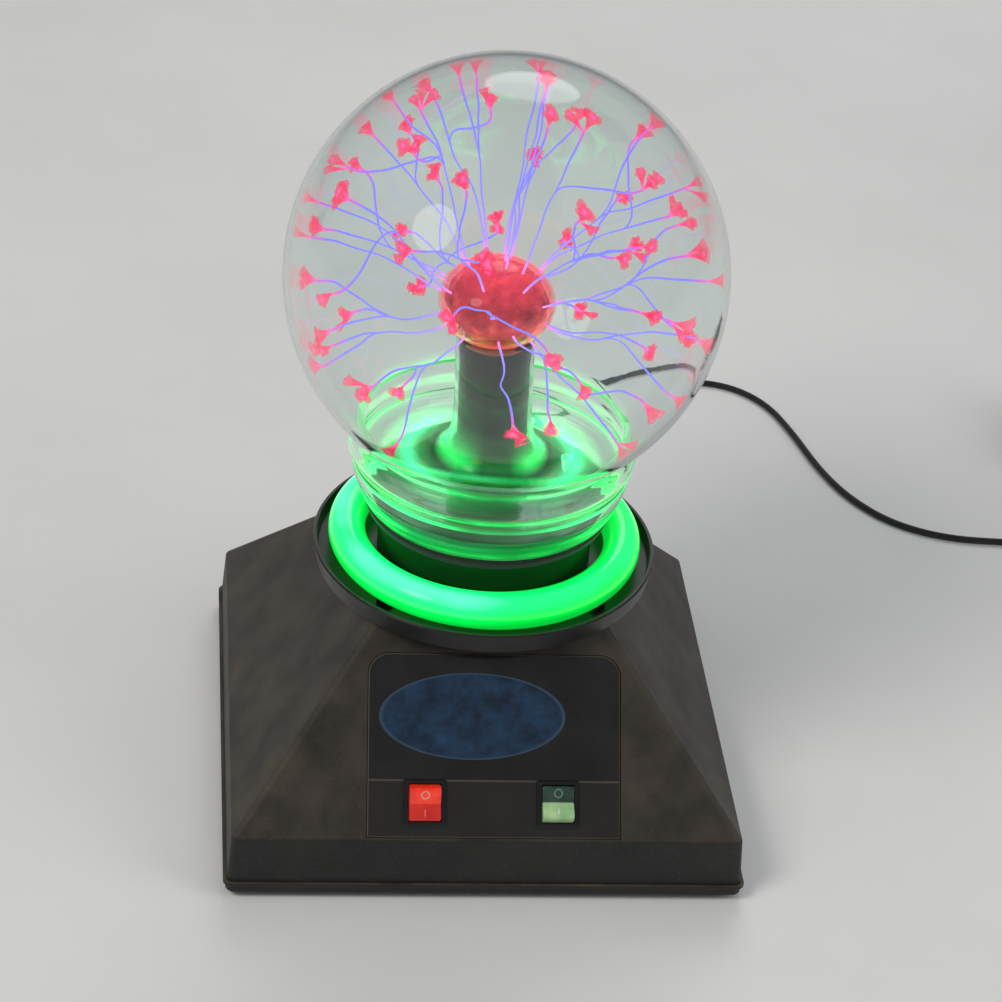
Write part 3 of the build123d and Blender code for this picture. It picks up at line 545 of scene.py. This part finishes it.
# glowing gas: violet-blue threads that start pink, and pink-red tufts that thin out at their edges
thread_glow = lit("discharge_thread", [(0.0, "#ff8fe0"), (1.0, "#e25fd0"), (0.09, "#b293ff"), (0.35, "#8a86ff"),
                                        (0.88, "#8480fa")], 1, 1.25, 0.6, attribute="reach")
foot_glow = lit("discharge_foot", [(0.0, "#c874ea"), (1.0, "#ee1c48"), (0.18, "#ff74bc"), (0.45, "#ff5088"),
                                    (0.8, "#ff2c58")], 1, 1.15, 0.6, attribute="reach", fade=(0.45, 1.0, 0.22))


def rocker_plastic(name, x, lean, above, below, painted_glow):
    """Tinted polycarbonate, polished: one tone above the crease and one below, each with a soft 6 mm cloud; the two
    tones are painted light and shade, lighter on the raised half and darker on the pressed one, and they are also
    given as a faint painted glow.
    """
    made, tree, surface = new_material(name)
    coords = put(tree, "TexCoord").outputs["Object"]
    cloud = put(tree, "TexNoise", {"Vector": coords, "Scale": 160.0, "Detail": 2.0}).outputs["Fac"]
    upper_with_painted_shading = put(tree, "ValToRGB", {"Fac": cloud}, [(0.3, above[0]), (0.7, above[1])]).outputs["Color"]
    lower_with_painted_shading = put(tree, "ValToRGB", {"Fac": cloud}, [(0.3, below[0]), (0.7, below[1])]).outputs["Color"]
    tilt = SLOPE + math.radians(lean)
    along = np.array([0, math.cos(tilt), math.sin(tilt)])
    crease = float((FOLD + UP * SWITCH_UP) @ along)
    climb = put(tree, "VectorMath", {0: coords, 1: tuple(along)}, operation="DOT_PRODUCT").outputs["Value"]
    part = put(tree, "MapRange", {"Value": climb, "From Min": crease - 0.4 * MM, "From Max": crease + 0.4 * MM})
    tone = put(tree, "Mix", {0: part.outputs["Result"], 6: lower_with_painted_shading, 7: upper_with_painted_shading}, data_type="RGBA").outputs[2]
    tree.links.new(tone, surface.inputs["Base Color"])
    # painted glow: the same two tones go into emission, so the key shines faintly though no lamp is in it
    tree.links.new(tone, surface.inputs["Emission Color"])
    surface.inputs["Emission Strength"].default_value = painted_glow
    wander = put(tree, "TexNoise", {"Vector": coords, "Scale": 600.0, "Detail": 2.0}).outputs["Fac"]
    gloss = put(tree, "MapRange", {"Value": wander, "To Min": 0.16, "To Max": 0.3}).outputs["Result"]
    tree.links.new(gloss, surface.inputs["Roughness"])
    surface.inputs["IOR"].default_value = 1.58
    surface.inputs["Coat Weight"].default_value = 0.4
    return made


# painted light and shade: red is lit above and shaded below, green is shaded above and lit below, following the raised
# and pressed halves
red_rocker = rocker_plastic("red_tinted_polycarbonate", POWER_X, 11.0, ("#e0260f", "#f83c20"), ("#b81a10", "#d42a18"),
                            0.22)
green_rocker = rocker_plastic("green_tinted_polycarbonate", MODE_X, -11.0, ("#1a3026", "#2c4a3a"),
                              ("#8fbf84", "#bfdca0"), 0.06)


def label_print():
    """Printed film: dark blue ink in cloudy patches, with a lighter rim by distance from its centre."""
    made, tree, surface = new_material("printed_blue_label_film")
    coords = put(tree, "TexCoord").outputs["Object"]
    cloud = put(tree, "TexNoise", {"Vector": coords, "Scale": 95.0, "Detail": 5.0, "Roughness": 0.65}).outputs["Fac"]
    ink = put(tree, "ValToRGB", {"Fac": cloud}, [(0.32, "#101d2c"), (0.70, "#22405e")]).outputs["Color"]
    centre = FOLD + UP * 56.7 * MM
    moved = put(tree, "Mapping", {"Vector": coords, "Location": (8.2 * MM, -centre[1], -centre[2])})
    turned_in = put(tree, "Mapping", {"Vector": moved.outputs["Vector"], "Rotation": (-SLOPE, 0, 0)})
    sized = put(tree, "Mapping", {"Vector": turned_in.outputs["Vector"], "Scale": (1 / 0.0427, 1 / 0.0198, 0)})
    far = put(tree, "VectorMath", {0: sized.outputs["Vector"]}, operation="LENGTH").outputs["Value"]
    rim = put(tree, "MapRange", {"Value": far, "From Min": 0.955, "From Max": 0.975}).outputs["Result"]
    tone = put(tree, "Mix", {0: rim, 6: ink, 7: linear("#34495e")}, data_type="RGBA").outputs[2]
    tree.links.new(tone, surface.inputs["Base Color"])
    gloss = put(tree, "MapRange", {"Value": cloud, "To Min": 0.22, "To Max": 0.40}).outputs["Result"]
    tree.links.new(gloss, surface.inputs["Roughness"])
    fibre = put(tree, "TexNoise", {"Vector": coords, "Scale": 900.0, "Detail": 2.0}).outputs["Fac"]
    bump = put(tree, "Bump", {"Height": fibre, "Distance": 0.01 * MM}).outputs["Normal"]
    tree.links.new(bump, surface.inputs["Normal"])
    return made


for material, names in [
    (abs_textured, ["base_shell", "bottom_tray"]),
    (abs_satin, ["lamp_tray", "globe_pedestal", "globe_clamp", "lamp_cradles"]),
    (acrylic_black, ["front_panel"]),
    (label_print(), ["panel_label"]),
    (nylon_black, ["power_switch_case", "mode_switch_case", "power_transistor", "microphone"]),
    (nylon_white, ["wire_headers"]),
    (rubber_black, ["rubber_feet", "globe_gasket", "lamp_sleeve", "strain_relief", "adapter_relief"]),
    (silicone_dark, ["stem_liner"]),
    (zinc_steel, ["case_screws", "tray_screws", "board_screws"]),
    (brass, ["switch_tabs", "stem_contact"]),
    (nickel, ["adapter_pins"]),
    (aluminium, ["heat_sink", "capacitors"]),
    (board_brown, ["driver_board"]),
    (ferrite_grey, ["transformer_core"]),
    (resin_black, ["transformer_coil", "lamp_inverter"]),
    (dipped_red, ["film_capacitor"]),
    (wire_red, ["power_leads", "hv_lead"]),
    (wire_grey, ["mode_leads", "lamp_leads"]),
    (pvc_black, ["supply_lead"]),
    (stem_glass, ["exhaust_tip"]),
    (adapter_abs, ["adapter_case"]),
]:
    for name in names:
        for held in nodes[name].material_slots:
            held.material = material


# ---- the lead ----
lead = add_cord(pvc_black)


# ---- glass ----
def add_globe():
    """A ball's arc, a pinched waist, a bulging neck drawn in to a thick rim, and the same again inside."""
    ball = (0.0, GLOBE_Z)
    inside = GLOBE_R - GLASS
    outer = arc(ball, (GLOBE_R, GLOBE_R), 90, -51.2, 90)
    neck_out = smooth_line([(62.4, 182.4), (64.9, 180.6), (66.4, 177.6), (66.7, 174.4), (66.4, 171.9), (65.2, 170.2),
                            (64.6, 168.6), (64.5, 165.4), (63.6, 160.2), (61.5, 153.6), (59.2, 148.8),
                            (58.4, 147.4)], 64) * MM
    rim = arc((57.0 * MM, 147.4 * MM), (1.4 * MM, 0.4 * MM), 0, -180, 12)
    neck_in = smooth_line([(55.6, 147.4), (56.9, 150.4), (59.4, 155.6), (61.2, 161.2), (62.3, 167.5), (63.0, 170.6),
                           (63.9, 173.6), (63.6, 177.4), (62.2, 180.4), (60.6, 182.6)], 56) * MM
    inner = arc(ball, (inside, inside), -51.6, 90, 90)
    points, faces = turned(np.concatenate([outer, neck_out, rim, neck_in, inner]), 192)
    return piece("glass_globe_shell", points, faces, blown_glass, stands_for=["glass_globe"],
                 weld=1e-6)


def leaned(points):
    """Each point slides to -X by the lean times its height above the floor, easing in over the first 12 mm."""
    rise = points[..., 2] - FLOOR_Z
    ease = np.clip(rise / (12 * MM), 0, 1)
    moved = points.copy()
    moved[..., 0] -= LEAN * rise * ease * ease * (3 - 2 * ease)
    return moved


def add_stem():
    """Floor disc, trumpet flare and tube as one turned wall, domed shut at its top, then leaned."""
    outside = smooth_line([(61.8, 164.6), (61.4, 166.2), (52, 166.6), (42, 166.2), (31, 166.9), (25.4, 169.6),
                           (21.0, 175.4), (18.6, 184), (18.0, 194), (18.0, 206), (18.0, 220), (18.0, 229),
                           (17.2, 232.2), (12, 233.6), (5, 233.9), (0, 233.9)], 120) * MM
    inside = smooth_line([(0, 232.5), (5, 232.5), (11, 232.2), (15.6, 230.6), (16.5, 227), (16.5, 216), (16.5, 204),
                          (16.5, 194), (17.0, 184), (19.2, 175), (23.4, 168.4), (30, 164.9), (42, 163.8),
                          (52, 164.0), (60.8, 163.8), (61.8, 164.6)], 120) * MM
    points, faces = turned(np.concatenate([outside, inside]), 144)
    return piece("glass_floor_and_stem", leaned(points), faces, stem_glass,
                 stands_for=["glass_stem"], weld=1e-6)


def add_electrode_glass():
    """A flattened ball's elliptic arc with a short turned-in lip at its open bottom, 1.2 mm thick."""
    outer = arc((0, 0), (BULB_R, BULB_H), 90, -46.5, 60)
    inner = arc((0, 0), (BULB_R - 1.2 * MM, BULB_H - 1.2 * MM), -45.5, 90, 60)
    points, faces = turned(np.concatenate([outer, inner]), 128)
    return piece("electrode_glass_ball", points + BULB, faces, bulb_glass,
                 stands_for=["electrode_bulb"], weld=1e-6)


def add_foil():
    """A ball pressed by 70 flat creases: radius is the least plane distance along each direction, plus folds."""
    chance = np.random.default_rng(7)
    lat, lon = np.meshgrid(np.linspace(90, -44, 120), np.linspace(0, 360, 200, endpoint=False), indexing="ij")
    lat, lon = np.radians(lat), np.radians(lon)
    way = np.stack([np.cos(lat) * np.cos(lon), np.cos(lat) * np.sin(lon), np.sin(lat)], -1)
    planes = chance.normal(size=(70, 3))
    planes /= np.linalg.norm(planes, axis=1, keepdims=True)
    facing = np.maximum(way @ planes.T, 0.05)
    reach = np.minimum((chance.uniform(0.92, 1.0, 70) / facing).min(-1), 1.0)
    fold = np.abs(np.sin(way @ chance.normal(size=(3, 6)) * 5 + chance.uniform(0, 6, 6))).prod(-1) ** 0.35
    reach = reach * (1 - 0.10 * (1 - fold))
    size = np.array([BULB_R, BULB_R, BULB_H]) - 1.6 * MM
    points = way * reach[..., None] * size + BULB
    bottom = np.repeat(points[-1:].mean(1, keepdims=True), points.shape[1], 1)
    points = np.concatenate([points, bottom])
    return piece("electrode_foil", points, grid_faces(len(points), points.shape[1], True), foil_glow,
                 stands_for=["electrode_wool"], flat=True)


add_globe()
add_stem()
add_electrode_glass()
add_foil()


# ---- ring lamp ----
def add_ring_lamp():
    """A circle of the tube's radius turned about the neck's axis."""
    section = arc((LAMP_R, LAMP_Z), (LAMP_TUBE, LAMP_TUBE), 0, 360, 49)[:-1]
    points, faces = turned(np.concatenate([section, section[:1]]), 224)
    return piece("ring_lamp_tube", points, faces, lamp_glow, stands_for=["ring_lamp"])


add_ring_lamp()

# ---- discharge: threads from the electrode to feet on the glass ----
# A spray leaves the electrode at one root and splits on its way to its feet. A real discharge moves all the time,
# so its feet are spread by a formula: an even spiral with some chance in it.
FOOT_COUNT, SPRAY_COUNT, LOWEST_FOOT = 66, 34, -0.6


def spread_out(count, loose, chance):
    """Directions on a golden-angle spiral from the top down to LOWEST_FOOT, in equal steps of height.

    Each one is then moved by chance, loose times a normal number along each axis, and made a unit again.
    """
    step = np.arange(count)
    height = 1 - (1 - LOWEST_FOOT) * (step + 0.5) / count
    turn = step * np.pi * (3 - np.sqrt(5))
    level = np.sqrt(1 - height**2)
    ways = np.stack([level * np.cos(turn), level * np.sin(turn), height], -1)
    ways += loose * chance.normal(size=(count, 3))
    ways[:, 2] = np.maximum(ways[:, 2], LOWEST_FOOT)
    return ways / np.linalg.norm(ways, axis=1, keepdims=True)


def share_out(chance):
    """Each foot joins its nearest spray, which aims at the mean of its feet and lists the nearest to it first."""
    feet, leaders = spread_out(FOOT_COUNT, 0.10, chance), spread_out(SPRAY_COUNT, 0.12, chance)
    nearest = (feet @ leaders.T).argmax(1)
    sprays = []
    for number in np.unique(nearest):
        group = feet[nearest == number]
        aim = group.mean(0) / np.linalg.norm(group.mean(0))
        sprays.append((aim, group[np.argsort(-(group @ aim))], chance.uniform(0.35, 0.7)))
    return sprays


def bend(start, leave, finish_at, arrive, count):
    """A cubic curve: it starts along leave and ends along arrive, both given with their lengths."""
    t = np.linspace(0, 1, count)[:, None]
    return ((1 - t)**3 * start + 3 * (1 - t)**2 * t * (start + leave)
            + 3 * (1 - t) * t**2 * (finish_at - arrive) + t**3 * finish_at)


def drift(path, chance, size, lift):
    """Lifts a path's middle by lift and adds slow sine waves of up to size; its ends stay where they are."""
    t = np.linspace(0, 1, len(path))[:, None]
    wave = sum(np.sin(2 * np.pi * rate * t + chance.uniform(0, 6.3, 3)) * chance.uniform(0.3, 1.0, 3) / rate**1.2
               for rate in (0.8, 1.7, 3.1))
    return path + size * wave * np.sin(np.pi * t) + np.sin(np.pi * t) * (0, 0, lift)


def tuft(neck, tip, wide, chance):
    """A trumpet from the thread's end to the glass: its radius opens with the third power of the way.

    Its edge is lobed more and more and drawn out to one side, its open end is closed by three smaller rings, and
    every point is held inside the ball.
    """
    s = np.concatenate([np.linspace(0, 1, 15), [1, 1, 1]])[:, None]
    part = np.concatenate([np.ones(15), [0.72, 0.42, 0.0]])[:, None]
    angle = np.linspace(0, 2 * np.pi, 28, endpoint=False)[None]
    waves = [(2, 0.26), (3, 0.16), (int(chance.integers(4, 8)), 0.12), (11, 0.07)]
    lobes = 1 + s**2 * sum(size * np.sin(count * angle + chance.uniform(0, 6)) for count, size in waves)
    radius = (0.45 * MM + (wide - 0.45 * MM) * (0.18 * s + 0.82 * s**3.2)) * lobes * part
    ahead = (tip - neck) / np.linalg.norm(tip - neck)
    first = np.cross(ahead, (0.31, 0.52, 0.79))
    first /= np.linalg.norm(first)
    second = np.cross(ahead, first)
    sweep = (first * chance.normal() + second * chance.normal()) * 0.9 * MM
    centre = neck + (tip - neck) * s + sweep * s**2
    round_it = np.cos(angle)[..., None] * first + np.sin(angle)[..., None] * second
    points = centre[:, None] + radius[..., None] * round_it
    points = np.concatenate([np.repeat(centre[:1, None], 28, 1), points])
    from_ball = points - (0, 0, GLOBE_Z)
    far = np.linalg.norm(from_ball, axis=-1, keepdims=True)
    limit = GLOBE_R - GLASS - 0.35 * MM
    points = np.where(far > limit, from_ball * limit / far + (0, 0, GLOBE_Z), points)
    tone = np.concatenate([[0], np.linspace(0, 1, 15), [0.75, 0.45, 0.2]])
    return points, grid_faces(len(points), 28, True), np.repeat(tone[:, None], 28, 1).ravel()


def foot(way, chance):
    """One to three tufts that share a neck 6 to 10 mm off the glass; later ones are smaller and lean away."""
    reach = GLOBE_R - GLASS - 0.4 * MM
    neck = np.array([0, 0, GLOBE_Z]) + way * (reach - chance.uniform(6.0, 10.0) * MM)
    tufts = []
    for number in range(int(chance.choice([1, 2, 2, 3]))):
        aside = chance.normal(size=3) * (0.0 if number == 0 else 0.038)
        toward_glass = (way + aside) / np.linalg.norm(way + aside)
        wide = chance.uniform(2.9, 4.3) * MM * (1 if number == 0 else 0.74)
        tufts.append(tuft(neck, np.array([0, 0, GLOBE_Z]) + toward_glass * reach, wide, chance))
    return neck, tufts


def add_discharge():
    """Every spray's threads and feet, gathered into one mesh of threads and one of feet."""
    chance = np.random.default_rng(31)
    threads, tones, feet, foot_tones = [], [], [], []
    size = np.array([BULB_R, BULB_R, BULB_H]) + 0.3 * MM
    for aim, spray, split in share_out(chance):
        aim[2] = max(aim[2], -0.5)
        root = BULB + aim / np.linalg.norm(aim / size)
        out = (root - BULB) / size**2
        out /= np.linalg.norm(out)
        fork = None
        for way in spray:
            neck, tufts = foot(way, chance)
            feet += [(shape, faces) for shape, faces, tone in tufts]
            foot_tones += [tone for shape, faces, tone in tufts]
            if fork is None:
                span, start = np.linalg.norm(neck - root), 0.0
                path = bend(root, out * span * 0.36, neck, way * span * 0.34, 64)
                path = drift(path, chance, min(1.6 * MM, 0.024 * span), 0.035 * span)
                at = int(split * 63)
                fork = (path[at], (path[at + 1] - path[at]) / np.linalg.norm(path[at + 1] - path[at]))
            else:
                span, start = np.linalg.norm(neck - fork[0]), split
                path = bend(fork[0], fork[1] * span * 0.32, neck, way * span * 0.34, 44)
                path = drift(path, chance, min(1.0 * MM, 0.02 * span), 0.0)
            along = np.linspace(start, 1, len(path))
            thick = (0.36 + 0.20 * np.abs(along - 0.5) * 2) * MM
            tube, tube_faces = tube_along(path, thick, 8, (0.37, 0.29, 0.88))
            threads.append((tube, tube_faces))
            tones.append(np.repeat(np.concatenate([[start], along, [1]])[:, None], 8, 1).ravel())
    points, faces = joined(threads)
    piece("discharge_threads", points, faces, thread_glow, attribute=("reach", np.concatenate(tones)), weld=0)
    points, faces = joined(feet)
    piece("discharge_feet", points, faces, foot_glow, attribute=("reach", np.concatenate(foot_tones)), weld=0)


add_discharge()


# ---- rockers ----
def rocker_points(x, lean):
    """Rounded key: section radius is the smooth least of a circle and three flats, and both ends round over.

    The two top faces rise from the middle by 12 degrees; the ends fold in along a quarter circle of 0.7 mm.
    """
    angle = np.linspace(0, 2 * np.pi, 96, endpoint=False)
    cos, sin = np.cos(angle), np.sin(angle)
    top = 3.0 / np.maximum(sin - 0.211 * np.abs(cos), 1e-3)
    low = 2.6 / np.maximum(-sin, 1e-3)
    section = (8.4**-22.0 + top**-22.0 + low**-22.0) ** (-1 / 22.0)
    turn = np.linspace(0, np.pi / 2, 6)
    inset = np.concatenate([0.7 * (1 - np.sin(turn)), np.zeros(2), 0.7 * (1 - np.sin(turn[::-1]))])
    across = np.concatenate([-7.2 + 0.7 * (1 - np.cos(turn)), [-3, 3], 7.2 - 0.7 * (1 - np.cos(turn[::-1]))])
    radius = np.concatenate([[np.zeros(96)], section[None] - inset[:, None], [np.zeros(96)]])
    across = np.concatenate([across[:1], across, across[-1:]])
    tilt = SLOPE + math.radians(lean)
    up = np.array([0, math.cos(tilt), math.sin(tilt)])
    out = np.array([0, -math.sin(tilt), math.cos(tilt)])
    middle = FOLD + UP * SWITCH_UP + np.array([x, 0, 0])
    points = (radius * cos)[..., None] * up + (radius * sin)[..., None] * out
    points[..., 0] += across[:, None]
    return points * MM + middle, up, out, middle


def add_rocker(name, x, lean, material, body, node, marks):
    """The key, and its O and I printed on the two faces as thin raised ink."""
    points, up, out, middle = rocker_points(x, lean)
    piece(name, points, grid_faces(len(points), 96, True), material, body, [node])
    for letter, side in (("o", 1), ("i", -1)):
        slant = math.radians(11.9) * side
        along = up * math.cos(slant) + out * math.sin(slant)
        off = out * math.cos(slant) - up * math.sin(slant)
        centre = middle + up * (4.1 * side * MM) + out * (3.0 + 0.211 * 4.1) * MM + off * 0.02 * MM
        turn = np.linspace(0, 2 * np.pi, 33)[:-1]
        wide, tall = (2.1, 2.2) if letter == "o" else (0.38, 1.7)
        rings = [(1, 0), (1, 0.06), (0, 0.06)]
        if letter == "o":
            rings = [(1.0, 0.0), (1.0, 0.06), (0.66, 0.06), (0.66, 0.0)]
        power = 1.0 if letter == "o" else 0.35
        shape_x = np.sign(np.cos(turn)) * np.abs(np.cos(turn)) ** power
        shape_y = np.sign(np.sin(turn)) * np.abs(np.sin(turn)) ** power
        shape = np.stack([centre + (shape_x[:, None] * wide * part * np.array([1, 0, 0])
                                    + shape_y[:, None] * tall * part * along + off * lift) * MM
                          for part, lift in rings + rings[:1]])
        piece(f"{name}_mark_{letter}", shape, grid_faces(len(shape), 32, True), marks[letter], body)


# pad-printed ink: flat, slightly chalky, two close tones so that it looks laid on
red_ink = finish("pale_red_ink", "#ff9c86", "#ffae9a", 2, (0.4, 0.5), 0.8, 0.005)
# painted shade: the dim inks are the same print darkened for the mark on each key's shaded half, red's I and green's O
painted_shade_red_ink = finish("painted_shade_red_ink", "#f2684e", "#f67a60", 2, (0.4, 0.5), 0.8, 0.005)
green_ink = finish("pale_green_ink", "#dfeccb", "#eaf3dc", 2, (0.4, 0.5), 0.8, 0.005)
painted_shade_green_ink = finish("painted_shade_green_ink", "#5d7d6b", "#6d8c79", 2, (0.4, 0.5), 0.8, 0.005)
add_rocker("red_power_key", POWER_X, 11.0, red_rocker, "power_key", "power_rocker",
           {"o": red_ink, "i": painted_shade_red_ink})
add_rocker("green_mode_key", MODE_X, -11.0, green_rocker, "mode_key", "mode_rocker",
           {"o": painted_shade_green_ink, "i": green_ink})

# ---- floor ----
floor_material = finish("pale_studio_floor", "#e2e1de", "#ebeae7", 400, (0.55, 0.7), 3, 0.02)
bpy.ops.mesh.primitive_plane_add(size=8, location=(0, 0, 0))
floor = bpy.context.object
floor.name = "studio_floor"
floor.data.materials.append(floor_material)
